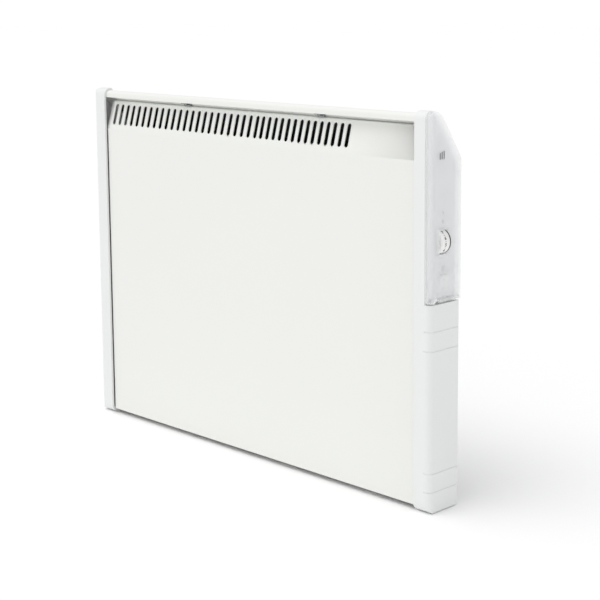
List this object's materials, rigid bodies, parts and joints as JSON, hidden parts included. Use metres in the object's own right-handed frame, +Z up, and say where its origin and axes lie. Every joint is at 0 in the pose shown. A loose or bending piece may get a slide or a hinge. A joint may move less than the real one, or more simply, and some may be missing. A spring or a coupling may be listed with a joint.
{
  "type": "panel convector heater",
  "caption": "Slim wall-hung electric convector heater with a sloped slotted outlet band, moulded end caps and side controls under a hinged frosted cover.",
  "frame": {"origin": "at the base of the end caps, midway across the width and midway between the front of the caps and the wall plane of the bracket", "axes": "+X towards the control end on the right, -Y out of the front, +Z up"},
  "size_m": [0.506, 0.062, 0.37],
  "materials": {
    "panel_paint": "satin powder coat, warm white",
    "cap_plastic": "fine-grained moulded plastic, cool white",
    "frosted_plastic": "frosted translucent cover",
    "housing_plastic": "moulded plastic, light grey",
    "control_plastic": "glossy white moulding",
    "galvanised_steel": "galvanised sheet",
    "bracket_paint": "satin powder coat, light grey",
    "fastener_steel": "zinc plated",
    "dark_steel": "phosphated spring steel",
    "element_aluminium": "mill finish extrusion",
    "sheath_steel": "heat tinted sheath",
    "ceramic_white": "unglazed",
    "black_plastic": "moulded plastic, black",
    "black_rubber": "rubber",
    "board_green": "solder resist",
    "relay_blue": "moulded case",
    "lens_dark": "tinted lens",
    "lens_amber": "tinted lens",
    "brass_part": "plain brass",
    "wire_brown": "insulation",
    "wire_blue": "insulation",
    "wire_green": "insulation",
    "wire_white": "insulation",
    "badge_grey": "printed",
    "label_film": "blank label film"
  },
  "bodies": {
    "chassis": {"front_panel": "panel_paint", "back_panel": "galvanised_steel", "base_grille": "galvanised_steel", "top_rail": "panel_paint", "left_end_cap": "cap_plastic", "right_end_cap": "cap_plastic", "partition": "galvanised_steel", "heat_shield": "element_aluminium", "panel_clips": "dark_steel", "clip_screws": "dark_steel", "cap_screws": "fastener_steel", "base_screws": "fastener_steel", "element_sheath": "sheath_steel", "element_fins": "element_aluminium", "element_bushes": "ceramic_white", "element_brackets": "galvanised_steel", "element_terminals": "fastener_steel", "thermal_cutout": "ceramic_white", "grommet": "black_rubber", "control_housing": "housing_plastic", "housing_screw": "fastener_steel", "potentiometer": "black_plastic", "circuit_board": "board_green", "relay": "relay_blue", "capacitor": "black_plastic", "led_power": "lens_dark", "led_heat": "lens_amber", "switch_body": "housing_plastic", "terminal_block": "control_plastic", "cable_gland": "black_plastic", "gland_nut": "black_plastic", "earth_stud": "brass_part", "earth_nut": "brass_part", "room_sensor": "black_plastic", "sensor_clip": "housing_plastic", "lead_live": "wire_brown", "lead_neutral": "wire_blue", "lead_earth": "wire_green", "lead_sensor": "wire_white", "rating_plate": "label_film", "wall_bracket": "bracket_paint", "catch_pins": "fastener_steel"},
    "cover": {"control_cover": "frosted_plastic", "cover_hinge_pins": "fastener_steel", "cover_badge": "badge_grey"},
    "wheel": {"thermostat_wheel": "control_plastic"},
    "rocker": {"rocker_button": "control_plastic"},
    "catch_left": {"left_catch": "control_plastic"},
    "catch_right": {"right_catch": "control_plastic"}
  },
  "joints": [
    {"name": "cover_hinge", "type": "hinge", "parent": "chassis", "child": "cover", "pos_m": [0.2482, -0.0105, 0.1997], "axis": [0, 1, 0], "range_deg": [0, 100]},
    {"name": "thermostat_turn", "type": "hinge", "parent": "chassis", "child": "wheel", "pos_m": [0.2445, -0.015, 0.2523], "axis": [0, 1, 0], "range_deg": [0, 270]},
    {"name": "rocker_tilt", "type": "hinge", "parent": "chassis", "child": "rocker", "pos_m": [0.2437, -0.0103, 0.2134], "axis": [0, -1, 0], "range_deg": [0, 14]},
    {"name": "catch_left_press", "type": "hinge", "parent": "chassis", "child": "catch_left", "pos_m": [-0.124, 0.021, 0.292], "axis": [1, 0, 0], "range_deg": [0, 15], "stiffness_Nm_per_rad": 0.05},
    {"name": "catch_right_press", "type": "hinge", "parent": "chassis", "child": "catch_right", "pos_m": [0.124, 0.021, 0.292], "axis": [1, 0, 0], "range_deg": [0, 15], "stiffness_Nm_per_rad": 0.05}
  ]
}
